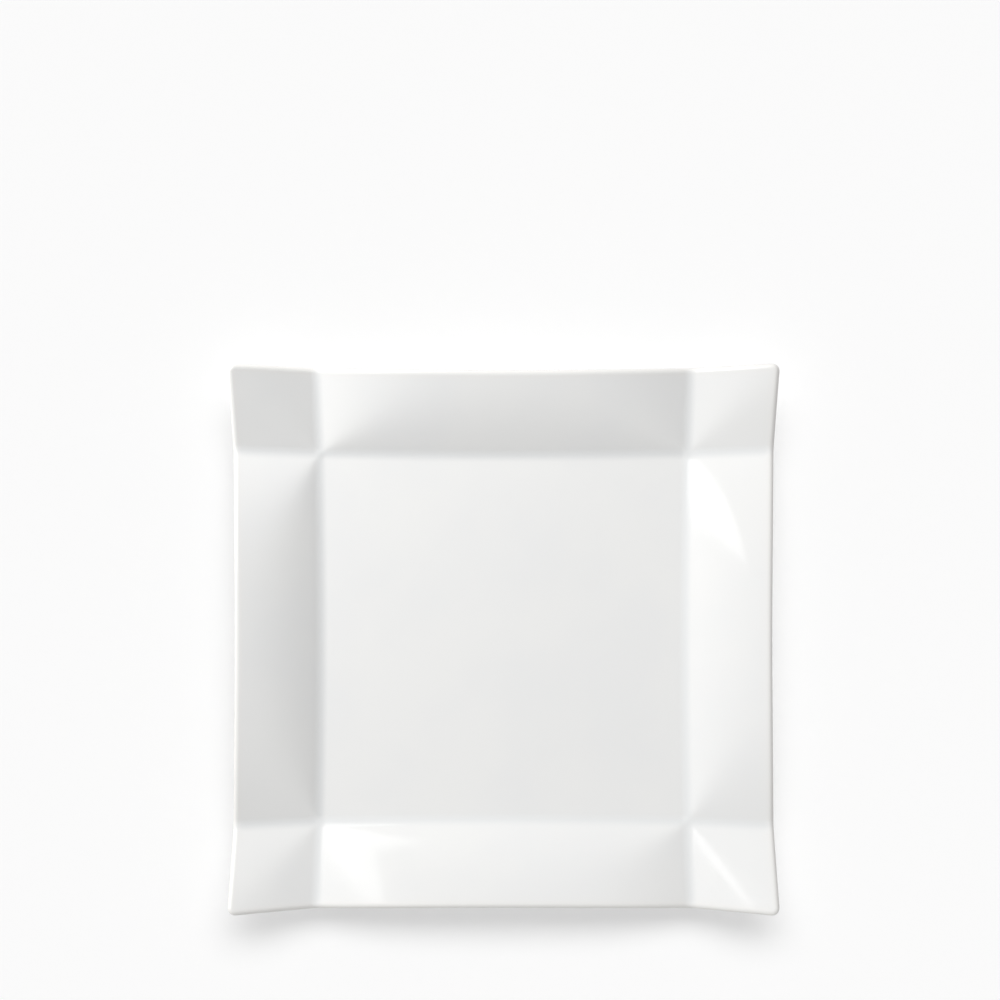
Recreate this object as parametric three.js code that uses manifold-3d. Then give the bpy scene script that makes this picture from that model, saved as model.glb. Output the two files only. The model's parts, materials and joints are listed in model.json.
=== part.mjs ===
// Square dessert plate of glazed porcelain, in millimetres, +Z up.
// The origin is on the table, under the middle of the plate.
import * as THREE from 'three';
import { mergeVertices } from 'three/addons/utils/BufferGeometryUtils.js';
import Module from 'manifold-3d';

// Plan: a square well inside a rim, parted by creases that run out to the edge.
const WELL_SIDE = 137; // between two facing creases, at their ends on the lip
const WELL_BOW = 1.7; // how far the middle of a crease stands in from the line between its ends
const RIM_WIDTH = 31.5; // end of a crease to the straight line between two corner tips
const SIDE_BOW = 2.4; // how far the middle of a side stands back from that line
const TIP_RADIUS = 1.3; // rounding of the corner tips, along the middle of the lip

// Heights of the rim above the well.
const CREASE_RISE = 5.6; // along a crease, well to lip
const BAND_SWELL = 5.5; // swell of a rim band above its creases, one rim width in from all of them
const BAND_CROWN = 1; // how much steeper that swell starts at a crease than it runs on average
const BAND_REACH = 1.55; // length of a band's end slopes for each unit of its width
const BAND_ARCH = 1.05; // slow rise of the lip on top of that, from a band's ends to its middle
const CORNER_SWELL = 5.7; // swell of a corner square
const CORNER_CROWN = -0.15; // the same as a band's, less than nothing is a hollow start
const HIP_POWER = 3.6; // sharpness of the hips that leave the well's corners, 1 is very soft
const CREASE_FILLET = 2.2; // half width of the rounded valley in a crease

// Thickness of the finished plate.
const WALL = 4.2; // under the well
const LIP = 3.2; // at the rounded edge
const LIP_REACH = 1.8; // width in plan of that rounding

// Foot ring, pressed in one with the body.
const FOOT_HEIGHT = 2.8; // clear height under the well
const FOOT_INSET = 8.5; // outer wall of the ring, in from the ends of the creases
const FOOT_WIDTH = 4.5;
const FOOT_RADIUS = 9; // plan rounding of the ring's outer corners
const FOOT_EDGE = 0.6; // rounding of the bearing face's edges

// Glaze coat.
const GLAZE = 0.35;
const BARE_HEIGHT = 1; // wiped clean of glaze above the table
const FUSE_GAP = 0.02; // between the coat and the body that it is fused to

// Fineness of the mesh.
const WELL_STEPS = 5;
const RIM_STEPS = 4;
const TIP_STEPS = 2;
const LIP_STEPS = 4;
const FOOT_CURVE_STEPS = 4;
const FOOT_EDGE_STEPS = 2;

// The middle of the lip is the line that the rounded edge turns about.
const HALF_WELL = WELL_SIDE / 2;
const WELL_FLAT = HALF_WELL - CREASE_FILLET;
const HALF_PLATE = HALF_WELL + RIM_WIDTH;
const HALF_LIP_LINE = HALF_PLATE - LIP_REACH;
const TIP_CENTRE = HALF_LIP_LINE - TIP_RADIUS;
const WELL_TOP = FOOT_HEIGHT + WALL;

const wasm = await Module();
wasm.setup();

function solidFrom(geometry) {
  geometry.deleteAttribute('normal');
  geometry.deleteAttribute('uv');
  const merged = mergeVertices(geometry);
  const mesh = new wasm.Mesh({
    numProp: 3,
    vertProperties: merged.attributes.position.array,
    triVerts: new Uint32Array(merged.index.array),
  });
  return new wasm.Manifold(mesh);
}

function namedMesh(name, solid, material) {
  const { vertProperties, triVerts } = solid.getMesh();
  const geometry = new THREE.BufferGeometry();
  geometry.setAttribute('position', new THREE.BufferAttribute(vertProperties, 3));
  geometry.setIndex(new THREE.BufferAttribute(triVerts, 1));
  geometry.computeVertexNormals();
  const mesh = new THREE.Mesh(geometry, material);
  mesh.name = name;
  return mesh;
}

// Distance past a crease, with the corner at zero rounded off to a fillet.
function rounded(distance) {
  if (distance <= -CREASE_FILLET) return 0;
  if (distance >= CREASE_FILLET) return distance;
  return (distance + CREASE_FILLET) ** 2 / (4 * CREASE_FILLET);
}

// The least of some distances, blended where two of them are alike: that is a rounded hip.
function softLeast(distances) {
  if (distances.includes(0)) return 0;
  const sum = distances.reduce((total, distance) => total + distance ** -HIP_POWER, 0);
  return sum ** (-1 / HIP_POWER);
}

// Swell of a rim panel, from its distances to the creases round it.
function swell(height, crown, distances) {
  const share = softLeast(distances) / RIM_WIDTH;
  return height * share * (1 + crown * (1 - share));
}

// Distance of a crease from the middle of the plate, at a place along it.
function creasePlace(along) {
  return HALF_WELL - WELL_BOW * (1 - (along / HALF_PLATE) ** 2);
}

// Height of a rim band over its creases, at a distance out from the well and a place along it.
// The creases at its ends are at the distance end from its middle.
function bandHeight(out, along, end) {
  const ends = [rounded(end - along), rounded(end + along)];
  const slopes = ends.map((distance) => distance / BAND_REACH);
  const arch = Math.max(0, 1 - (along / end) ** 2) * out / RIM_WIDTH;
  return swell(BAND_SWELL, BAND_CROWN, [out, ...slopes]) + BAND_ARCH * arch;
}

function topHeight(x, y) {
  const creaseX = creasePlace(y);
  const creaseY = creasePlace(x);
  const outX = rounded(Math.abs(x) - creaseX);
  const outY = rounded(Math.abs(y) - creaseY);
  const creased = CREASE_RISE * (outX + outY) / RIM_WIDTH;
  const corner = swell(CORNER_SWELL, CORNER_CROWN, [outX, outY]);
  const bands = bandHeight(outX, y, creaseY) + bandHeight(outY, x, creaseX);
  return WELL_TOP + creased + corner + bands;
}

// Share of the way from the crease to the middle of the lip, for a grid line.
function rimShare(line) {
  return Math.max(0, (Math.abs(line) - HALF_WELL) / (HALF_LIP_LINE - HALF_WELL));
}

function thickness(lineX, lineY) {
  const wellShare = (1 - rimShare(lineX)) * (1 - rimShare(lineY));
  return LIP + (WALL - LIP) * wellShare;
}

// How far a grid line is bowed in: as the creases near the well, as the sides on the lip.
function lineBow(line) {
  const wellShare = Math.min(1, Math.abs(line) / WELL_FLAT);
  return WELL_BOW * wellShare + (SIDE_BOW - WELL_BOW) * rimShare(line);
}

// Place of a grid crossing in plan, with rounded tips and bowed lines.
// The edge is moved outwards by grow, round the same tip centres.
function planPoint(lineX, lineY, grow) {
  const radius = TIP_RADIUS + grow;
  const tipX = Math.max(0, Math.abs(lineX) - TIP_CENTRE) / TIP_RADIUS;
  const tipY = Math.max(0, Math.abs(lineY) - TIP_CENTRE) / TIP_RADIUS;
  const squareX = Math.min(Math.abs(lineX), TIP_CENTRE) + radius * tipX * Math.sqrt(1 - tipY ** 2 / 2);
  const squareY = Math.min(Math.abs(lineY), TIP_CENTRE) + radius * tipY * Math.sqrt(1 - tipX ** 2 / 2);
  const bowX = lineBow(lineX) * (1 - (squareY / HALF_PLATE) ** 2);
  const bowY = lineBow(lineY) * (1 - (squareX / HALF_PLATE) ** 2);
  return [Math.sign(lineX) * (squareX - bowX), Math.sign(lineY) * (squareY - bowY)];
}

// Grid lines across the plate, close together at the creases and the tips.
function gridLines() {
  const half = [];
  for (let i = 1; i <= WELL_STEPS; i += 1) {
    half.push(WELL_FLAT * Math.sin((i / WELL_STEPS) * Math.PI / 2));
  }
  half.push(HALF_WELL);
  const rimStart = HALF_WELL + CREASE_FILLET;
  for (let i = 0; i <= RIM_STEPS; i += 1) {
    half.push(rimStart + (TIP_CENTRE - rimStart) * (i / RIM_STEPS));
  }
  for (let i = 1; i <= TIP_STEPS; i += 1) {
    half.push(TIP_CENTRE + TIP_RADIUS * (i / TIP_STEPS));
  }
  const mirrored = half.map((line) => -line).reverse();
  return [...mirrored, 0, ...half];
}

// The plate without its foot, as a box whose top, bottom and sides are bent to shape.
// Its skin lies the given distance inside the finished one.
function plateSkin(inset) {
  const lines = gridLines();
  const cells = lines.length - 1;
  const box = new THREE.BoxGeometry(cells, cells, LIP_STEPS, cells, cells, LIP_STEPS);
  const point = box.attributes.position;
  for (let i = 0; i < point.count; i += 1) {
    const lineX = lines[Math.round(point.getX(i) + cells / 2)];
    const lineY = lines[Math.round(point.getY(i) + cells / 2)];
    const turn = (point.getZ(i) / LIP_STEPS) * Math.PI;
    const [x, y] = planPoint(lineX, lineY, (LIP_REACH - inset) * Math.cos(turn));
    const halfWall = thickness(lineX, lineY) / 2;
    const middle = topHeight(x, y) - halfWall;
    point.setXYZ(i, x, y, middle + (halfWall - inset) * Math.sin(turn));
  }
  return solidFrom(box);
}

function roundedSquare(path, half, radius) {
  const centre = half - radius;
  path.absarc(centre, centre, radius, 0, Math.PI / 2);
  path.absarc(-centre, centre, radius, Math.PI / 2, Math.PI);
  path.absarc(-centre, -centre, radius, Math.PI, Math.PI * 1.5);
  path.absarc(centre, -centre, radius, Math.PI * 1.5, Math.PI * 2);
  return path;
}

// The foot ring, grown on both of its walls, from a height up into the wall of the plate.
function footRing(grow, bottom) {
  const outerHalf = HALF_WELL - FOOT_INSET;
  const innerHalf = outerHalf - FOOT_WIDTH;
  const ring = roundedSquare(new THREE.Shape(), outerHalf + grow, FOOT_RADIUS + grow);
  const innerRadius = Math.max(FOOT_EDGE, FOOT_RADIUS - FOOT_WIDTH);
  ring.holes.push(roundedSquare(new THREE.Path(), innerHalf - grow, innerRadius));
  const top = FOOT_HEIGHT + WALL / 2;
  const geometry = new THREE.ExtrudeGeometry(ring, {
    depth: top - bottom - 2 * FOOT_EDGE,
    curveSegments: FOOT_CURVE_STEPS,
    bevelThickness: FOOT_EDGE,
    bevelSize: FOOT_EDGE,
    bevelOffset: -FOOT_EDGE,
    bevelSegments: FOOT_EDGE_STEPS,
  });
  geometry.translate(0, 0, bottom + FOOT_EDGE);
  return solidFrom(geometry);
}

function porcelainBody() {
  return plateSkin(GLAZE + FUSE_GAP).add(footRing(0, 0));
}

// The glaze is what lies between the finished skin and the body's seat in it.
// The bare foot parts it in two: the larger coat is the one over the eating face.
function glazeCoats() {
  const finished = plateSkin(0).add(footRing(GLAZE, BARE_HEIGHT));
  const seat = plateSkin(GLAZE).add(footRing(FUSE_GAP, 0));
  const coats = finished.subtract(seat).decompose();
  return coats.sort((one, other) => other.volume() - one.volume());
}

const bisque = new THREE.MeshStandardMaterial({ color: 0xefebe3, roughness: 0.8, metalness: 0 });
const faceFinish = new THREE.MeshStandardMaterial({ color: 0xf4f4f2, roughness: 0.08, metalness: 0 });
const baseFinish = new THREE.MeshStandardMaterial({ color: 0xf2f2ef, roughness: 0.12, metalness: 0 });

const [faceCoat, baseCoat] = glazeCoats();
const plate = new THREE.Group();
plate.add(namedMesh('porcelain_body', porcelainBody(), bisque));
plate.add(namedMesh('face_glaze', faceCoat, faceFinish));
plate.add(namedMesh('base_glaze', baseCoat, baseFinish));

export default plate;
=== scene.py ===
"""Square dessert plate of white glazed porcelain on a plain studio floor.

Laid out as an add-on and run as a script. Lengths are in metres, +Z up, and the
origin is on the table under the middle of the plate.
"""

import json
import math

import bmesh
import bpy
from mathutils import Matrix, Vector, noise


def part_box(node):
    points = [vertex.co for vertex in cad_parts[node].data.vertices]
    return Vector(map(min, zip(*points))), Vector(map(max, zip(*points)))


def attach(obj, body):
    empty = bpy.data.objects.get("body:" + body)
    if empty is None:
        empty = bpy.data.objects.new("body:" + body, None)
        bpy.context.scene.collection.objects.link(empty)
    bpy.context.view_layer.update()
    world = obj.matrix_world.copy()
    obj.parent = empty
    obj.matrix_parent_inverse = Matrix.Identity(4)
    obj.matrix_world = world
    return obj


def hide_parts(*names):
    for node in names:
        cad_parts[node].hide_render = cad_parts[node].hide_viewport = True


bl_info = {
    "name": "Square Dessert Plate",
    "version": (1, 0, 0),
    "blender": (4, 5, 0),
    "location": "View3D > Sidebar > Plate",
    "description": "Builds a square glazed porcelain dessert plate and its studio stage",
    "category": "Add Mesh",
}

MM = 0.001

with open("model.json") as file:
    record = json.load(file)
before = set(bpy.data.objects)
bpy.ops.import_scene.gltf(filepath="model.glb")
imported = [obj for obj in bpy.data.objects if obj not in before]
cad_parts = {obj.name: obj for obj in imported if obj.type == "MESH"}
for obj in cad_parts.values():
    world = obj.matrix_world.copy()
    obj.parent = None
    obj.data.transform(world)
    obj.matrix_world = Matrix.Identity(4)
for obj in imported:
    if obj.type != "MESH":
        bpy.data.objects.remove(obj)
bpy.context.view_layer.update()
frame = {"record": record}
MOUNTS = {mount["name"]: mount["pos_m"] for mount in frame["record"]["mounts"]}
COLOURS = {row["slot"]: row["base_color"] for row in frame["record"]["materials"]}
BASE_COAT_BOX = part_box("base_glaze")

# Fineness of the meshes: steps between grid lines, from the middle of the plate outwards.
FINE_STEPS = {"well": 22, "crease": 6, "rim": 20, "tip": 4, "lip": 10}
BODY_STEPS = {"well": 12, "crease": 4, "rim": 9, "tip": 3, "lip": 6}
BASE_STEPS = 16
FOOT_EDGE_STEPS = 4
# Points closer together than this are one point.
MERGE_GAP = 0.002 * MM

# Unevenness of the firing: waves for each metre, and the slice of the noise that is taken.
WARP_WAVES = 14
WARP_SLICE = 3.7

# Depth of the glaze on its even parts, where 1 is pooled in a crease and 0 is thin on the lip,
# the widths of those two zones, and the share of the thinning that reaches the face.
EVEN_DEPTH = 0.5
POOL_WIDTH = 1.6 * MM
THIN_WIDTH = 1.2 * MM
THIN_ON_FACE = 0.4

# Marks of the kiln: their scales, the noise between which a cloud or the grain shows,
# the size of a pinhole in its cell and the share of cells that have one.
GLAZE_MARKS = {"Cloud Scale": 32, "Grain Scale": 160, "Pinhole Scale": 42}
BARE_MARKS = {"Cloud Scale": 120, "Grain Scale": 2600, "Pinhole Scale": 260}
CLOUD_DETAIL = 2
GRAIN_DETAIL = 3
GLAZE_CLOUDS = (0.4, 0.65)
BARE_CLOUDS = (0.45, 0.75)
GRAIN_RANGE = (0.3, 0.7)
PINHOLE_EDGE = (0.006, 0.014)
PINHOLE_SHARE = 0.2

# How much the grain roughens a surface, and the strength and depth of its bumps.
GLAZE_GRAIN = {"rougher": 0.05, "strength": 0.5, "depth": 0.012 * MM}
BARE_GRAIN = {"rougher": 0.2, "strength": 0.6, "depth": 0.05 * MM}
GLAZE_IOR = 1.52
TOASTED_SHARE = 0.5
SOIL_SHARE = 0.55
SOIL_HEIGHT = 0.5 * MM

# Half the side of the floor, and its cells.
FLOOR_HALF = 3
FLOOR_CELLS = 8

# Azimuth, elevation and width of the far lamps in degrees.
HIGH_LAMP = (150, 55, 20)
OVERHEAD_LAMP = (90, 90, 12)
FAR_LAMPS = [(azimuth, 52, 28) for azimuth in (60, 75, 90, 105, 120)]
# Azimuth and elevation of the low lamp, and the length of its sides.
LOW_LAMP = (135, 25)
LOW_LAMP_SIDE = 0.2
# Width of the camera's sensor in millimetres.
SENSOR_WIDTH = 36
# The softbox, by a corner and two sides.
SOFTBOX = ((-0.249, 0.057, 0.685), (0.186, 0.322, -0.176), (-0.294, -0.02, -0.346))


class PlateShape(bpy.types.PropertyGroup):
    """Sizes of the finished plate."""

    well_side: bpy.props.FloatProperty(
        name="Well Side",
        description="Distance between two facing creases, at their ends on the lip",
        default=137 * MM,
        unit="LENGTH",
    )
    well_bow: bpy.props.FloatProperty(
        name="Well Bow",
        description="How far the middle of a crease stands in from the line between its ends",
        default=1.7 * MM,
        unit="LENGTH",
    )
    rim_width: bpy.props.FloatProperty(
        name="Rim Width",
        description="Crease to the straight line between two corner tips",
        default=31.5 * MM,
        unit="LENGTH",
    )
    side_bow: bpy.props.FloatProperty(
        name="Side Bow",
        description="How far the middle of a side stands back from that line",
        default=2.4 * MM,
        unit="LENGTH",
    )
    tip_radius: bpy.props.FloatProperty(
        name="Tip Radius",
        description="Rounding of the corner tips along the middle of the lip",
        default=1.3 * MM,
        unit="LENGTH",
    )
    crease_rise: bpy.props.FloatProperty(
        name="Crease Rise",
        description="Rise of a crease from the well to the lip",
        default=5.6 * MM,
        unit="LENGTH",
    )
    band_swell: bpy.props.FloatProperty(
        name="Band Swell",
        description="Swell of a rim band above its creases, one rim width in from them",
        default=5.5 * MM,
        unit="LENGTH",
    )
    band_crown: bpy.props.FloatProperty(
        name="Band Crown",
        description="How much steeper that swell starts at a crease than it runs on average",
        default=1,
    )
    band_reach: bpy.props.FloatProperty(
        name="Band Reach",
        description="Length of a band's end slopes for each unit of its width",
        default=1.55,
    )
    band_arch: bpy.props.FloatProperty(
        name="Band Arch",
        description="Slow rise of the lip on top of that, from a band's ends to its middle",
        default=1.05 * MM,
        unit="LENGTH",
    )
    corner_swell: bpy.props.FloatProperty(
        name="Corner Swell",
        description="Swell of a corner square above its creases, one rim width in from them",
        default=5.7 * MM,
        unit="LENGTH",
    )
    corner_crown: bpy.props.FloatProperty(
        name="Corner Crown",
        description="How much steeper that swell starts at a crease than it runs on average",
        default=-0.15,
    )
    hip_power: bpy.props.FloatProperty(
        name="Hip Power",
        description="Sharpness of the hips that leave the corners of the well",
        default=3.6,
    )
    crease_fillet: bpy.props.FloatProperty(
        name="Crease Fillet",
        description="Half the width of the rounded valley in a crease",
        default=2.2 * MM,
        unit="LENGTH",
    )
    firing_warp: bpy.props.FloatProperty(
        name="Firing Warp",
        description="How far the kiln has pulled the plate out of true",
        default=0.08 * MM,
        unit="LENGTH",
    )
    well_top: bpy.props.FloatProperty(
        name="Well Height",
        description="Height of the well's floor above the table",
        default=MOUNTS["well_floor"][2],
        unit="LENGTH",
    )
    wall: bpy.props.FloatProperty(
        name="Wall",
        description="Thickness under the well",
        default=4.2 * MM,
        unit="LENGTH",
    )
    lip: bpy.props.FloatProperty(
        name="Lip",
        description="Thickness at the rounded edge",
        default=3.2 * MM,
        unit="LENGTH",
    )
    lip_reach: bpy.props.FloatProperty(
        name="Lip Reach",
        description="Width in plan of that rounding",
        default=1.8 * MM,
        unit="LENGTH",
    )
    foot_middle: bpy.props.FloatProperty(
        name="Foot Middle",
        description="Middle of the foot ring's bearing face, out from the centre",
        default=MOUNTS["foot_face"][0],
        unit="LENGTH",
    )
    foot_width: bpy.props.FloatProperty(
        name="Foot Width",
        description="Width of the bare foot ring",
        default=4.5 * MM,
        unit="LENGTH",
    )
    foot_radius: bpy.props.FloatProperty(
        name="Foot Radius",
        description="Plan rounding of the foot ring's outer corners",
        default=9 * MM,
        unit="LENGTH",
    )
    foot_edge: bpy.props.FloatProperty(
        name="Foot Edge",
        description="Rounding of the bearing face's edges",
        default=0.6 * MM,
        unit="LENGTH",
    )
    foot_root: bpy.props.FloatProperty(
        name="Foot Root",
        description="Hollow that the glaze leaves between the foot ring and the underside",
        default=0.9 * MM,
        unit="LENGTH",
    )
    glaze: bpy.props.FloatProperty(
        name="Glaze",
        description="Thickness of the glaze coat",
        default=0.35 * MM,
        unit="LENGTH",
    )
    glaze_bead: bpy.props.FloatProperty(
        name="Glaze Bead",
        description="How far the edge of the coat rolls out above the bare foot",
        default=0.08 * MM,
        unit="LENGTH",
    )
    fuse_gap: bpy.props.FloatProperty(
        name="Fuse Gap",
        description="Gap between the coat and the body that it is fused to",
        default=0.02 * MM,
        unit="LENGTH",
    )
    bare_height: bpy.props.FloatProperty(
        name="Bare Height",
        description="Height above the table that is wiped clean of glaze",
        default=BASE_COAT_BOX[0].z,
        unit="LENGTH",
    )

    @property
    def half_well(self):
        return self.well_side / 2

    @property
    def well_flat(self):
        return self.half_well - self.crease_fillet

    @property
    def half_plate(self):
        return self.half_well + self.rim_width

    @property
    def lip_line(self):
        return self.half_plate - self.lip_reach

    @property
    def underside(self):
        return self.well_top - self.wall

    @property
    def foot_outside(self):
        return self.foot_middle + self.foot_width / 2

    @property
    def foot_inside(self):
        return self.foot_middle - self.foot_width / 2

    @property
    def foot_inside_radius(self):
        return self.foot_radius - self.foot_width


class PlateFinish(bpy.types.PropertyGroup):
    """Colours and gloss of the glaze and of the bare porcelain."""

    glaze_white: bpy.props.FloatVectorProperty(
        name="Glaze White",
        description="Colour of the glaze on the even parts",
        default=(0.84, 0.84, 0.83),
        subtype="COLOR",
        min=0,
        max=1,
    )
    glaze_cloud: bpy.props.FloatVectorProperty(
        name="Glaze Cloud",
        description="Colour of the faint clouds in the glaze",
        default=(0.825, 0.827, 0.822),
        subtype="COLOR",
        min=0,
        max=1,
    )
    glaze_pooled: bpy.props.FloatVectorProperty(
        name="Pooled Glaze",
        description="Colour where the glaze has run together in a crease",
        default=(0.79, 0.80, 0.80),
        subtype="COLOR",
        min=0,
        max=1,
    )
    glaze_thin: bpy.props.FloatVectorProperty(
        name="Thin Glaze",
        description="Colour where the glaze has drawn back on the lip",
        default=(0.83, 0.815, 0.79),
        subtype="COLOR",
        min=0,
        max=1,
    )
    glaze_fleck: bpy.props.FloatVectorProperty(
        name="Fleck",
        description="Colour of the rare pinholes in the glaze",
        default=(0.56, 0.53, 0.48),
        subtype="COLOR",
        min=0,
        max=1,
    )
    glaze_roughness: bpy.props.FloatProperty(
        name="Glaze Roughness",
        description="Roughness of the clean glaze",
        default=0.07,
        subtype="FACTOR",
        min=0,
        max=1,
    )
    bare_pale: bpy.props.FloatVectorProperty(
        name="Bare Porcelain",
        description="Colour of the unglazed foot",
        default=COLOURS["bare_porcelain"],
        subtype="COLOR",
        min=0,
        max=1,
    )
    bare_dusky: bpy.props.FloatVectorProperty(
        name="Dusky Porcelain",
        description="Colour of the toasted and soiled parts of the foot",
        default=(0.60, 0.54, 0.45),
        subtype="COLOR",
        min=0,
        max=1,
    )
    bare_roughness: bpy.props.FloatProperty(
        name="Bare Roughness",
        description="Roughness of the unglazed foot",
        default=0.72,
        subtype="FACTOR",
        min=0,
        max=1,
    )


class PlateStage(bpy.types.PropertyGroup):
    """Floor, lamps and camera. A lamp's share is what it adds to a white card facing it."""

    floor_white: bpy.props.FloatVectorProperty(
        name="Floor White",
        description="Colour of the studio floor",
        default=(0.985, 0.985, 0.985),
        subtype="COLOR",
        min=0,
        max=1,
    )
    room_share: bpy.props.FloatProperty(
        name="Room",
        description="Light from all round",
        default=0.345,
        subtype="FACTOR",
    )
    high_share: bpy.props.FloatProperty(
        name="High Lamp",
        description="Far light on the plate, from the left and above",
        default=0.57,
        subtype="FACTOR",
    )
    low_share: bpy.props.FloatProperty(
        name="Low Lamp",
        description="Near light on the plate, from the far left corner and low down",
        default=0.335,
        subtype="FACTOR",
    )
    low_distance: bpy.props.FloatProperty(
        name="Low Lamp Distance",
        description="Distance of the low lamp from the plate",
        default=0.5,
        unit="LENGTH",
    )
    glint: bpy.props.FloatProperty(
        name="Glint",
        description="Brightness of the softbox that the glaze mirrors, where 1 is white",
        default=1.6,
    )
    overhead_share: bpy.props.FloatProperty(
        name="Overhead Lamp",
        description="Light on the floor, from straight above",
        default=0.3,
        subtype="FACTOR",
    )
    far_share: bpy.props.FloatProperty(
        name="Far Lamps",
        description="Light on the floor, from a row of lamps that throw the plate's shadow",
        default=0.42,
        subtype="FACTOR",
    )
    camera_height: bpy.props.FloatProperty(
        name="Camera Height",
        description="Height of the camera above the floor",
        default=0.9,
        unit="LENGTH",
    )
    camera_place: bpy.props.FloatVectorProperty(
        name="Camera Place",
        description="Place of the camera in plan, off the plate's middle",
        default=(-1.3 * MM, 50.5 * MM),
        size=2,
        unit="LENGTH",
    )
    camera_lens: bpy.props.FloatProperty(
        name="Camera Lens",
        description=f"Focal length in millimetres on a sensor {SENSOR_WIDTH} mm wide",
        default=87.5,
    )


# Shape of the plate.


def rounded(distance, fillet):
    """Distance past a crease, with the corner at zero rounded off to a fillet."""
    if distance <= -fillet:
        return 0.0
    if distance >= fillet:
        return distance
    return (distance + fillet) ** 2 / (4 * fillet)


def soft_least(distances, power):
    """The least of some distances, blended where two are alike: that is a rounded hip."""
    if min(distances) <= 0:
        return 0.0
    return sum(distance**-power for distance in distances) ** (-1 / power)


def swell(shape, height, crown, distances):
    """Swell of a rim panel, from its distances to the creases round it."""
    share = soft_least(distances, shape.hip_power) / shape.rim_width
    return height * share * (1 + crown * (1 - share))


def crease_place(shape, along):
    """Distance of a crease from the middle of the plate, at a place along it."""
    return shape.half_well - shape.well_bow * (1 - (along / shape.half_plate) ** 2)


def band_height(shape, out, along, end):
    """Height of a rim band over its creases: at a distance out from the well and a place along.

    The creases at the ends of the band are at the distance end from its middle.
    """
    ends = end - along, end + along
    slopes = [rounded(distance, shape.crease_fillet) / shape.band_reach for distance in ends]
    arch = max(0.0, 1 - (along / end) ** 2) * out / shape.rim_width
    swelled = swell(shape, shape.band_swell, shape.band_crown, [out, *slopes])
    return swelled + shape.band_arch * arch


def warp(shape, x, y):
    """Slow unevenness that firing leaves in the whole plate."""
    place = Vector((x * WARP_WAVES, y * WARP_WAVES, WARP_SLICE))
    return shape.firing_warp * noise.noise(place)


def top_height(shape, x, y):
    """Height of the eating face above the table."""
    fillet = shape.crease_fillet
    crease_x = crease_place(shape, y)
    crease_y = crease_place(shape, x)
    out_x = rounded(abs(x) - crease_x, fillet)
    out_y = rounded(abs(y) - crease_y, fillet)
    creased = shape.crease_rise * (out_x + out_y) / shape.rim_width
    corner = swell(shape, shape.corner_swell, shape.corner_crown, [out_x, out_y])
    bands = band_height(shape, out_x, y, crease_y) + band_height(shape, out_y, x, crease_x)
    return shape.well_top + creased + corner + bands


def rim_share(shape, line):
    """Share of the way from the crease to the middle of the lip, for a grid line."""
    return max(0.0, (abs(line) - shape.half_well) / (shape.lip_line - shape.half_well))


def thickness(shape, line_x, line_y):
    """Thickness of the wall, which thins from the well to the lip."""
    well_share = (1 - rim_share(shape, line_x)) * (1 - rim_share(shape, line_y))
    return shape.lip + (shape.wall - shape.lip) * well_share


def rounded_square(x, y, half, radius, grow=0.0):
    """A point of a square, moved so that the square's corners are round.

    Its edge is moved outwards by grow, round the same corner centres.
    """
    centre = half - radius
    share_x = max(0.0, abs(x) - centre) / radius
    share_y = max(0.0, abs(y) - centre) / radius
    place_x = min(abs(x), centre) + (radius + grow) * share_x * math.sqrt(1 - share_y**2 / 2)
    place_y = min(abs(y), centre) + (radius + grow) * share_y * math.sqrt(1 - share_x**2 / 2)
    return math.copysign(place_x, x), math.copysign(place_y, y)


def line_bow(shape, line):
    """How far a grid line is bowed in: as the creases near the well, as the sides on the lip."""
    well_share = min(1.0, abs(line) / shape.well_flat)
    return shape.well_bow * well_share + (shape.side_bow - shape.well_bow) * rim_share(shape, line)


def plan_point(shape, line_x, line_y, grow):
    """Place of a grid crossing in plan, with rounded tips and bowed lines."""
    x, y = rounded_square(line_x, line_y, shape.lip_line, shape.tip_radius, grow)
    bow_x = line_bow(shape, line_x) * (1 - (y / shape.half_plate) ** 2)
    bow_y = line_bow(shape, line_y) * (1 - (x / shape.half_plate) ** 2)
    return x - math.copysign(bow_x, line_x), y - math.copysign(bow_y, line_y)


def both_sides(half):
    """Lines on one side of the middle, with the middle and their mirror images."""
    return [-line for line in reversed(half)] + [0.0] + half


def grid_lines(shape, steps):
    """Grid lines across the plate, close together at the creases and the tips."""
    rim_start = shape.half_well + shape.crease_fillet
    tip_centre = shape.lip_line - shape.tip_radius
    half = []
    for step in range(1, steps["well"] + 1):
        half.append(shape.well_flat * math.sin(math.pi / 2 * step / steps["well"]))
    for step in range(1, steps["crease"] + 1):
        half.append(shape.well_flat + 2 * shape.crease_fillet * step / steps["crease"])
    for step in range(1, steps["rim"] + 1):
        share = 1 - math.cos(math.pi / 2 * step / steps["rim"])
        half.append(rim_start + (tip_centre - rim_start) * share)
    for step in range(1, steps["tip"] + 1):
        half.append(tip_centre + shape.tip_radius * step / steps["tip"])
    return both_sides(half)


# Meshes.


def lined_grid(lines):
    """A flat grid with its crossings on the given lines, and the layers that keep them."""
    bm = bmesh.new()
    cells = len(lines) - 1
    bmesh.ops.create_grid(bm, x_segments=cells, y_segments=cells, size=cells / 2)
    line_x = bm.verts.layers.float.new("line_x")
    line_y = bm.verts.layers.float.new("line_y")
    for vert in bm.verts:
        vert[line_x] = lines[round(vert.co.x + cells / 2)]
        vert[line_y] = lines[round(vert.co.y + cells / 2)]
    return bm, line_x, line_y


def new_ring(bm, edges):
    """Draws a loop of edges out into a new row of faces and returns its free edges."""
    made = bmesh.ops.extrude_edge_only(bm, edges=edges)["geom"]
    return [part for part in made if isinstance(part, bmesh.types.BMEdge) and part.is_boundary]


def ring_verts(edges):
    return {vert for edge in edges for vert in edge.verts}


def free_edges(bm):
    return [edge for edge in bm.edges if edge.is_boundary]


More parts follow.
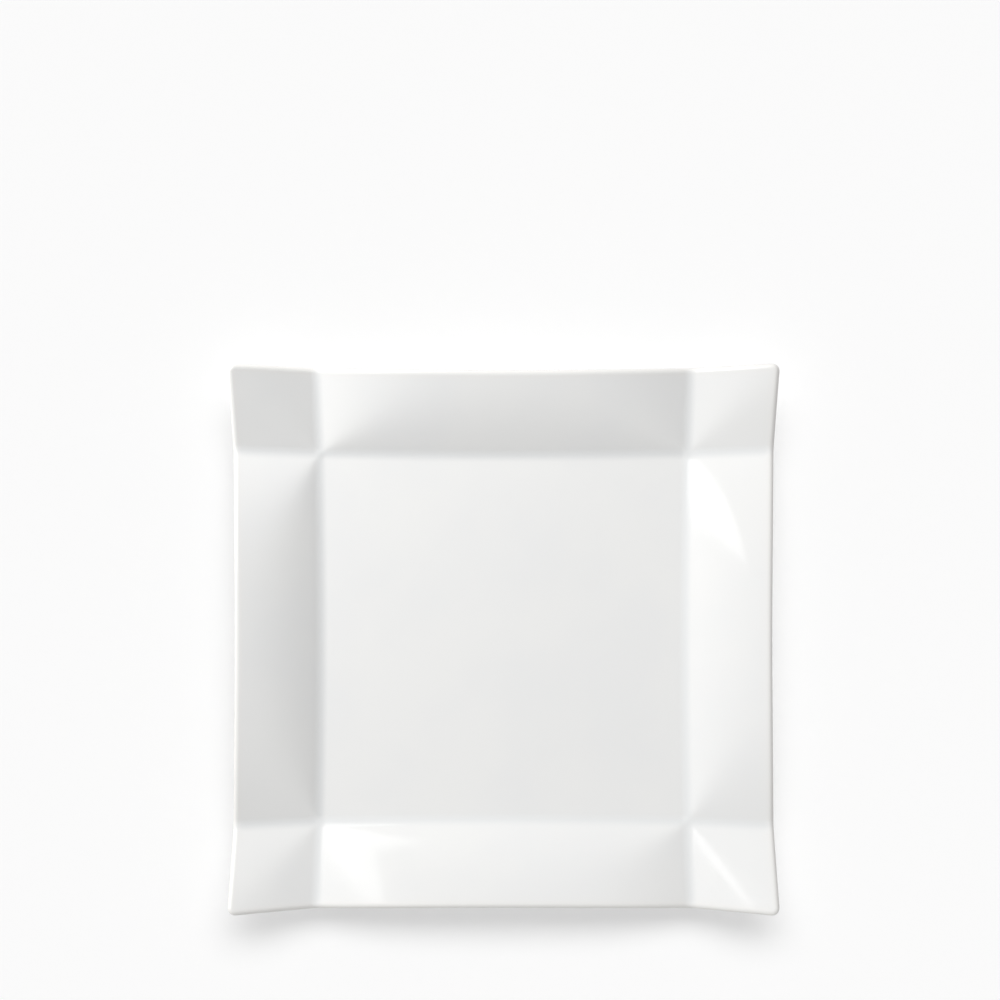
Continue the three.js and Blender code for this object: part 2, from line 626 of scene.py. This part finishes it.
def plate_skin(shape, steps, inset):
    """The face, lip and underside of the plate, open where the foot ring stands.

    The skin lies the given distance inside the finished one.
    """
    bm, line_x, line_y = lined_grid(grid_lines(shape, steps))
    depth = bm.verts.layers.float.new("glaze_depth")

    def place(vert, turn):
        lines = vert[line_x], vert[line_y]
        x, y = plan_point(shape, *lines, (shape.lip_reach - inset) * math.cos(turn))
        half_wall = thickness(shape, *lines) / 2
        middle = top_height(shape, x, y) + warp(shape, x, y) - half_wall
        vert.co = x, y, middle + (half_wall - inset) * math.sin(turn)
        past_x = abs(abs(x) - crease_place(shape, y))
        past_y = abs(abs(y) - crease_place(shape, x))
        pooled = math.exp(-((min(past_x, past_y) / POOL_WIDTH) ** 2))
        edge = shape.lip_line - max(abs(line) for line in lines)
        around_lip = THIN_ON_FACE + (1 - THIN_ON_FACE) * math.cos(turn)
        thin = math.exp(-((edge / THIN_WIDTH) ** 2)) * around_lip
        vert[depth] = EVEN_DEPTH + (1 - EVEN_DEPTH) * pooled * (1 - thin) - EVEN_DEPTH * thin

    face = bm.verts[:] + bm.edges[:] + bm.faces[:]
    rim = free_edges(bm)
    below = bmesh.ops.duplicate(bm, geom=face)["geom"]
    below_faces = [part for part in below if isinstance(part, bmesh.types.BMFace)]
    bmesh.ops.reverse_faces(bm, faces=below_faces)
    for part in face:
        if isinstance(part, bmesh.types.BMVert):
            place(part, math.pi / 2)
    for part in below:
        if isinstance(part, bmesh.types.BMVert):
            place(part, -math.pi / 2)
    for step in range(1, steps["lip"] + 1):
        rim = new_ring(bm, rim)
        for vert in ring_verts(rim):
            place(vert, math.pi / 2 - math.pi * step / steps["lip"])

    reach = shape.well_flat + MERGE_GAP
    under_well = [
        part
        for part in below_faces
        if all(abs(vert[line_x]) < reach and abs(vert[line_y]) < reach for vert in part.verts)
    ]
    bmesh.ops.delete(bm, geom=under_well, context="FACES")
    bmesh.ops.remove_doubles(bm, verts=bm.verts[:], dist=MERGE_GAP)
    return bm, line_x, line_y


def draw_rings(bm, layers, start_half, stations):
    """Draws the free loop of a sheet on through rounded squares of given half, radius, height."""
    line_x, line_y = layers
    rim = free_edges(bm)
    for half, radius, height in stations:
        rim = new_ring(bm, rim)
        scale = half / start_half
        for vert in ring_verts(rim):
            place = rounded_square(vert[line_x] * scale, vert[line_y] * scale, half, radius)
            vert.co = *place, height
    return rim


def quarter_turn(steps):
    """Sines and cosines of a quarter turn, in even steps after its start."""
    angles = [math.pi / 2 * step / steps for step in range(1, steps + 1)]
    return [(math.sin(angle), math.cos(angle)) for angle in angles]


def finish_piece(context, bm, name, material, node):
    """Turns a bmesh into a smooth piece that stands for a CAD node."""
    for layer_name in ("line_x", "line_y"):
        bm.verts.layers.float.remove(bm.verts.layers.float[layer_name])
    bmesh.ops.recalc_face_normals(bm, faces=bm.faces[:])
    for part in bm.faces:
        part.smooth = True
    mesh = bpy.data.meshes.new(name)
    bm.to_mesh(mesh)
    bm.free()
    mesh.materials.append(material)
    piece = bpy.data.objects.new(name, mesh)
    context.scene.collection.objects.link(piece)
    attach(piece, "root")
    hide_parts(node)
    return piece


def add_coat_thickness(shape, piece):
    """Gives an open skin the thickness of the glaze, inwards."""
    coat = piece.modifiers.new("Glaze Thickness", "SOLIDIFY")
    coat.thickness = shape.glaze - shape.fuse_gap
    coat.offset = -1
    coat.use_even_offset = True


# Materials.


def add_node(tree, kind, place, **values):
    node = tree.nodes.new(kind)
    node.location = place
    for name, value in values.items():
        setattr(node, name, value)
    return node


def map_value(tree, place, source, before, after):
    """A value carried over from one range to another."""
    node = add_node(tree, "ShaderNodeMapRange", place)
    for name, value in zip(("From Min", "From Max", "To Min", "To Max"), (*before, *after)):
        node.inputs[name].default_value = value
    tree.links.new(source, node.inputs["Value"])
    return node.outputs["Result"]


def mixed_colour(tree, place, factor, first, second):
    """Two colours mixed by a factor. Each colour is a value or an output."""
    mix = add_node(tree, "ShaderNodeMix", place, data_type="RGBA")
    factor_in, *colours_in = [socket for socket in mix.inputs if socket.enabled]
    tree.links.new(factor, factor_in)
    for socket, value in zip(colours_in, (first, second)):
        if isinstance(value, bpy.types.NodeSocket):
            tree.links.new(value, socket)
        else:
            socket.default_value = (*value, 1)
    return [socket for socket in mix.outputs if socket.enabled][0]


def kiln_marks_group():
    """Clouds, grain and rare pinholes that firing leaves in glaze and bare porcelain."""
    found = bpy.data.node_groups.get("Kiln Marks")
    if found:
        return found
    group = bpy.data.node_groups.new("Kiln Marks", "ShaderNodeTree")
    group.interface.new_socket("Vector", in_out="INPUT", socket_type="NodeSocketVector")
    for name in ("Cloud", "Grain", "Pinhole"):
        group.interface.new_socket(f"{name} Scale", in_out="INPUT", socket_type="NodeSocketFloat")
        group.interface.new_socket(name, in_out="OUTPUT", socket_type="NodeSocketFloat")
    start = add_node(group, "NodeGroupInput", (-600, 0))
    end = add_node(group, "NodeGroupOutput", (500, 0))
    link = group.links.new

    for name, detail, row in (("Cloud", CLOUD_DETAIL, 250), ("Grain", GRAIN_DETAIL, 0)):
        mottle = add_node(group, "ShaderNodeTexNoise", (-300, row))
        mottle.inputs["Detail"].default_value = detail
        link(start.outputs["Vector"], mottle.inputs["Vector"])
        link(start.outputs[f"{name} Scale"], mottle.inputs["Scale"])
        link(mottle.outputs["Fac"], end.inputs[name])

    cell = add_node(group, "ShaderNodeTexVoronoi", (-300, -250))
    link(start.outputs["Vector"], cell.inputs["Vector"])
    link(start.outputs["Pinhole Scale"], cell.inputs["Scale"])
    hole = map_value(group, (0, -200), cell.outputs["Distance"], PINHOLE_EDGE, (1, 0))
    hole.node.interpolation_type = "SMOOTHSTEP"
    chance = add_node(group, "ShaderNodeSeparateColor", (0, -450))
    link(cell.outputs["Color"], chance.inputs["Color"])
    chosen = add_node(group, "ShaderNodeMath", (150, -400), operation="GREATER_THAN")
    chosen.inputs[1].default_value = 1 - PINHOLE_SHARE
    link(chance.outputs["Red"], chosen.inputs[0])
    kept = add_node(group, "ShaderNodeMath", (320, -250), operation="MULTIPLY")
    link(hole, kept.inputs[0])
    link(chosen.outputs["Value"], kept.inputs[1])
    link(kept.outputs["Value"], end.inputs["Pinhole"])
    return group


def place_kiln_marks(tree, scales):
    """Kiln Marks on the piece's own coordinates."""
    coords = add_node(tree, "ShaderNodeTexCoord", (-1350, 100))
    marks = add_node(tree, "ShaderNodeGroup", (-1100, 100), node_tree=kiln_marks_group())
    for name, scale in scales.items():
        marks.inputs[name].default_value = scale
    tree.links.new(coords.outputs["Object"], marks.inputs["Vector"])
    return marks


def add_grain(tree, shader, marks, smooth, rougher, strength, depth):
    """Lets the grain roughen a surface, and raises the grain and sinks the pinholes."""
    grain = marks.outputs["Grain"]
    rough = smooth + rougher
    roughness = map_value(tree, (-450, 0), grain, GRAIN_RANGE, (smooth, rough))
    tree.links.new(roughness, shader.inputs["Roughness"])
    height = add_node(tree, "ShaderNodeMath", (-450, -300), operation="SUBTRACT")
    tree.links.new(grain, height.inputs[0])
    tree.links.new(marks.outputs["Pinhole"], height.inputs[1])
    bump = add_node(tree, "ShaderNodeBump", (-250, -300))
    bump.inputs["Strength"].default_value = strength
    bump.inputs["Distance"].default_value = depth
    tree.links.new(height.outputs["Value"], bump.inputs["Height"])
    tree.links.new(bump.outputs["Normal"], shader.inputs["Normal"])


def new_material(name):
    """A material, its node tree and its shader."""
    material = bpy.data.materials.new(name)
    material.use_nodes = True
    tree = material.node_tree
    return material, tree, tree.nodes["Principled BSDF"]


def glaze_material(finish):
    """Glossy white glaze: faint clouds, pooled in the creases, drawn back on the lip."""
    found = bpy.data.materials.get("White Glaze")
    if found:
        return found
    material, tree, shader = new_material("White Glaze")
    shader.inputs["IOR"].default_value = GLAZE_IOR
    marks = place_kiln_marks(tree, GLAZE_MARKS)
    cloud = map_value(tree, (-850, 400), marks.outputs["Cloud"], GLAZE_CLOUDS, (0, 1))
    even = mixed_colour(tree, (-650, 400), cloud, finish.glaze_white, finish.glaze_cloud)
    depth = add_node(tree, "ShaderNodeAttribute", (-1100, 700), attribute_name="glaze_depth")
    pooled = map_value(tree, (-850, 700), depth.outputs["Fac"], (EVEN_DEPTH, 1), (0, 1))
    thin = map_value(tree, (-850, 950), depth.outputs["Fac"], (EVEN_DEPTH, 0), (0, 1))
    creased = mixed_colour(tree, (-450, 500), pooled, even, finish.glaze_pooled)
    lipped = mixed_colour(tree, (-250, 500), thin, creased, finish.glaze_thin)
    pinholes = marks.outputs["Pinhole"]
    flecked = mixed_colour(tree, (-50, 500), pinholes, lipped, finish.glaze_fleck)
    tree.links.new(flecked, shader.inputs["Base Color"])
    add_grain(tree, shader, marks, finish.glaze_roughness, **GLAZE_GRAIN)
    return material


def bare_material(finish):
    """Matt bare porcelain: fine grain, toasted clouds and soil where it meets the table."""
    found = bpy.data.materials.get("Bare Porcelain")
    if found:
        return found
    material, tree, shader = new_material("Bare Porcelain")
    marks = place_kiln_marks(tree, BARE_MARKS)
    cloud = marks.outputs["Cloud"]
    toasted = map_value(tree, (-850, 400), cloud, BARE_CLOUDS, (0, TOASTED_SHARE))
    clouded = mixed_colour(tree, (-650, 400), toasted, finish.bare_pale, finish.bare_dusky)
    coords = add_node(tree, "ShaderNodeTexCoord", (-1350, -200))
    parts = add_node(tree, "ShaderNodeSeparateXYZ", (-1100, -200))
    tree.links.new(coords.outputs["Object"], parts.inputs["Vector"])
    height = parts.outputs["Z"]
    near_table = map_value(tree, (-850, -200), height, (0, SOIL_HEIGHT), (SOIL_SHARE, 0))
    soil = add_node(tree, "ShaderNodeMath", (-650, -100), operation="MULTIPLY")
    tree.links.new(near_table, soil.inputs[0])
    tree.links.new(marks.outputs["Grain"], soil.inputs[1])
    soiled = mixed_colour(tree, (-450, 300), soil.outputs["Value"], clouded, finish.bare_dusky)
    tree.links.new(soiled, shader.inputs["Base Color"])
    add_grain(tree, shader, marks, finish.bare_roughness, **BARE_GRAIN)
    return material


def floor_material(stage):
    """A white that mirrors nothing."""
    material, _, shader = new_material("Studio Floor")
    shader.inputs["Base Color"].default_value = (*stage.floor_white, 1)
    shader.inputs["Roughness"].default_value = 1
    shader.inputs["Specular IOR Level"].default_value = 0
    return material


# Operators.


def lamp_direction(azimuth, elevation):
    """Unit vector from the plate to a lamp, by its direction in degrees."""
    turn = math.radians(azimuth)
    rise = math.radians(elevation)
    level = math.cos(rise)
    return Vector((math.cos(turn) * level, math.sin(turn) * level, math.sin(rise)))


class PLATE_OT_body(bpy.types.Operator):
    """Build the pressed porcelain body with its bare foot ring"""

    bl_idname = "plate.body"
    bl_label = "Porcelain Body"

    def execute(self, context):
        shape = context.scene.plate_shape
        inset = shape.glaze + shape.fuse_gap
        bm, *layers = plate_skin(shape, BODY_STEPS, inset)
        outside = shape.foot_outside
        inside = shape.foot_inside
        radius = shape.foot_radius
        inner_radius = shape.foot_inside_radius
        edge = shape.foot_edge
        seat = shape.underside + inset
        stations = [(outside, radius, seat), (outside, radius, edge)]
        for sine, cosine in quarter_turn(FOOT_EDGE_STEPS):
            stations.append((outside - edge * (1 - cosine), radius, edge * (1 - sine)))
        stations.append((inside + edge, inner_radius, 0.0))
        for sine, cosine in quarter_turn(FOOT_EDGE_STEPS):
            stations.append((inside + edge * (1 - sine), inner_radius, edge * (1 - cosine)))
        stations.append((inside, inner_radius, seat))
        rim = draw_rings(bm, layers, shape.well_flat, stations)
        bmesh.ops.edgeloop_fill(bm, edges=rim)
        material = bare_material(context.scene.plate_finish)
        finish_piece(
            context, bm, "body_with_bare_foot", material, "porcelain_body"
        )
        return {"FINISHED"}


class PLATE_OT_face_glaze(bpy.types.Operator):
    """Build the glaze coat over the face, the lip, the outer underside and the foot's outside"""

    bl_idname = "plate.face_glaze"
    bl_label = "Glaze Over the Face"

    def execute(self, context):
        shape = context.scene.plate_shape
        bm, *layers = plate_skin(shape, FINE_STEPS, 0.0)
        radius = shape.foot_radius + shape.glaze
        outside = shape.foot_outside + shape.glaze
        root = shape.foot_root
        top = shape.underside
        bottom = shape.bare_height
        stations = [(outside + root, radius, top)]
        for sine, cosine in quarter_turn(FOOT_EDGE_STEPS):
            stations.append((outside + root * (1 - sine), radius, top - root * (1 - cosine)))
        bead = shape.glaze_bead
        stations.append((outside + bead, radius, bottom + shape.glaze))
        stations.append((outside, radius, bottom))
        draw_rings(bm, layers, shape.well_flat, stations)
        material = glaze_material(context.scene.plate_finish)
        piece = finish_piece(
            context, bm, "glaze_over_face", material, "face_glaze"
        )
        add_coat_thickness(shape, piece)
        return {"FINISHED"}


class PLATE_OT_base_glaze(bpy.types.Operator):
    """Build the glaze coat of the recessed base inside the foot ring"""

    bl_idname = "plate.base_glaze"
    bl_label = "Glaze Inside the Foot"

    def execute(self, context):
        shape = context.scene.plate_shape
        root = shape.foot_root
        inside = shape.foot_inside - shape.glaze
        radius = shape.foot_inside_radius
        top = shape.underside
        bottom = shape.bare_height
        floor_half = inside - root
        half = [
            floor_half * math.sin(math.pi / 2 * step / BASE_STEPS)
            for step in range(1, BASE_STEPS + 1)
        ]
        bm, *layers = lined_grid(both_sides(half))
        depth = bm.verts.layers.float.new("glaze_depth")
        for vert in bm.verts:
            place = rounded_square(vert[layers[0]], vert[layers[1]], floor_half, radius)
            vert.co = *place, top
            vert[depth] = EVEN_DEPTH
        stations = []
        for sine, cosine in quarter_turn(FOOT_EDGE_STEPS):
            stations.append((floor_half + root * sine, radius, top - root * (1 - cosine)))
        stations.append((inside - shape.glaze_bead, radius, bottom + shape.glaze))
        stations.append((inside, radius, bottom))
        draw_rings(bm, layers, floor_half, stations)
        material = glaze_material(context.scene.plate_finish)
        piece = finish_piece(
            context, bm, "glaze_inside_foot", material, "base_glaze"
        )
        add_coat_thickness(shape, piece)
        return {"FINISHED"}


class PLATE_OT_stage(bpy.types.Operator):
    """Set up the floor, the soft lamps, the room and the camera"""

    bl_idname = "plate.stage"
    bl_label = "Studio Stage"

    def execute(self, context):
        stage = context.scene.plate_stage
        floor = self.add_floor(context, stage)
        self.add_lamps(context, stage, floor)
        self.light_room(context, stage)
        self.add_camera(context, stage)
        context.scene.view_settings.view_transform = "Standard"
        return {"FINISHED"}

    def add_floor(self, context, stage):
        bm = bmesh.new()
        bmesh.ops.create_grid(
            bm, x_segments=FLOOR_CELLS, y_segments=FLOOR_CELLS, size=FLOOR_HALF
        )
        mesh = bpy.data.meshes.new("studio_floor")
        bm.to_mesh(mesh)
        bm.free()
        mesh.materials.append(floor_material(stage))
        floor = bpy.data.objects.new("studio_floor", mesh)
        context.scene.collection.objects.link(floor)
        return floor

    def add_lamps(self, context, stage, floor):
        """The plate and the floor have lamps of their own, so that the floor stays even."""
        high = self.add_sun(context, "high_lamp", stage.high_share, *HIGH_LAMP)
        low = self.add_low_lamp(context, stage)
        softbox = self.add_softbox(context, stage)
        pieces = [piece for piece in context.scene.objects if piece.type == "MESH"]
        pieces.remove(floor)
        self.aim_only_at("plate_alone", pieces, (high, low, softbox))
        overhead = self.add_sun(context, "overhead_lamp", stage.overhead_share, *OVERHEAD_LAMP)
        floor_lamps = [overhead]
        share = stage.far_share / len(FAR_LAMPS)
        for azimuth, elevation, width in FAR_LAMPS:
            name = f"far_lamp_{azimuth}"
            floor_lamps.append(self.add_sun(context, name, share, azimuth, elevation, width))
        self.aim_only_at("floor_alone", [floor], floor_lamps)

    def aim_only_at(self, name, things, lamps):
        """Lets some lamps light only the given things."""
        lit = bpy.data.collections.new(name)
        for thing in things:
            lit.objects.link(thing)
        for lamp in lamps:
            lamp.light_linking.receiver_collection = lit

    def add_sun(self, context, name, share, azimuth, elevation, width):
        """A far round lamp, by its direction and its width in degrees."""
        light = bpy.data.lights.new(name, "SUN")
        light.energy = math.pi * share
        light.angle = math.radians(width)
        return self.add_lamp(context, light, lamp_direction(azimuth, elevation))

    def add_low_lamp(self, context, stage):
        light = bpy.data.lights.new("low_lamp", "AREA")
        light.size = LOW_LAMP_SIDE
        light.energy = 4 * math.pi * stage.low_distance**2 * stage.low_share
        light.use_shadow = False
        return self.add_lamp(context, light, lamp_direction(*LOW_LAMP) * stage.low_distance)

    def add_lamp(self, context, light, place):
        """A lamp that looks at the plate and isn't mirrored in it."""
        lamp = bpy.data.objects.new(light.name, light)
        lamp.location = place
        lamp.rotation_euler = place.to_track_quat("Z", "Y").to_euler()
        lamp.visible_glossy = False
        context.scene.collection.objects.link(lamp)
        return lamp

    def add_softbox(self, context, stage):
        """The near softbox that the glaze mirrors, by its corner and two sides."""
        corner, across, along = (Vector(part) for part in SOFTBOX)
        light = bpy.data.lights.new("softbox", "AREA")
        light.shape = "RECTANGLE"
        light.size, light.size_y = across.length, along.length
        light.energy = 4 * light.size * light.size_y * stage.glint
        side = across.normalized()
        back = side.cross(along).normalized()
        turn = Matrix((side, back.cross(side), back)).transposed()
        lamp = bpy.data.objects.new("softbox", light)
        lamp.matrix_world = Matrix.Translation(corner + across / 2 + along / 2) @ turn.to_4x4()
        lamp.visible_diffuse = False
        context.scene.collection.objects.link(lamp)
        return lamp

    def light_room(self, context, stage):
        """A room that looks white and gives only a little light."""
        world = bpy.data.worlds.new("studio_room")
        world.use_nodes = True
        context.scene.world = world
        tree = world.node_tree
        background = tree.nodes["Background"]
        background.inputs["Color"].default_value = (1, 1, 1, 1)
        path = add_node(tree, "ShaderNodeLightPath", (-900, 0))
        seen = path.outputs["Is Camera Ray"]
        for column, name in enumerate(("Is Glossy Ray", "Is Transmission Ray")):
            place = -700 + 180 * column, 0
            either = add_node(tree, "ShaderNodeMath", place, operation="MAXIMUM")
            tree.links.new(seen, either.inputs[0])
            tree.links.new(path.outputs[name], either.inputs[1])
            seen = either.outputs["Value"]
        strength = map_value(tree, (-300, 0), seen, (0, 1), (stage.room_share, 1))
        tree.links.new(strength, background.inputs["Strength"])

    def add_camera(self, context, stage):
        """A camera that looks straight down, with the plate's +Y side at the top."""
        data = bpy.data.cameras.new("camera")
        data.sensor_width = SENSOR_WIDTH
        data.lens = stage.camera_lens
        camera = bpy.data.objects.new("camera", data)
        camera.location = (*stage.camera_place, stage.camera_height)
        context.scene.collection.objects.link(camera)
        context.scene.camera = camera


class PLATE_PT_sidebar(bpy.types.Panel):
    """Sizes, finishes and build steps of the plate"""

    bl_label = "Square Dessert Plate"
    bl_idname = "PLATE_PT_sidebar"
    bl_space_type = "VIEW_3D"
    bl_region_type = "UI"
    bl_category = "Plate"

    def draw(self, context):
        for operator in BUILD_STEPS:
            self.layout.operator(operator.bl_idname)
        for group in (
            context.scene.plate_shape,
            context.scene.plate_finish,
            context.scene.plate_stage,
        ):
            box = self.layout.box()
            for name in group.__annotations__:
                box.prop(group, name)


BUILD_STEPS = (PLATE_OT_body, PLATE_OT_face_glaze, PLATE_OT_base_glaze, PLATE_OT_stage)
CLASSES = (PlateShape, PlateFinish, PlateStage, *BUILD_STEPS, PLATE_PT_sidebar)


def register():
    for item in CLASSES:
        bpy.utils.register_class(item)
    bpy.types.Scene.plate_shape = bpy.props.PointerProperty(type=PlateShape)
    bpy.types.Scene.plate_finish = bpy.props.PointerProperty(type=PlateFinish)
    bpy.types.Scene.plate_stage = bpy.props.PointerProperty(type=PlateStage)


def unregister():
    del bpy.types.Scene.plate_stage
    del bpy.types.Scene.plate_finish
    del bpy.types.Scene.plate_shape
    for item in reversed(CLASSES):
        bpy.utils.unregister_class(item)


def main():
    register()
    bpy.ops.plate.body()
    bpy.ops.plate.face_glaze()
    bpy.ops.plate.base_glaze()
    bpy.ops.plate.stage()


if __name__ == "__main__":
    main()
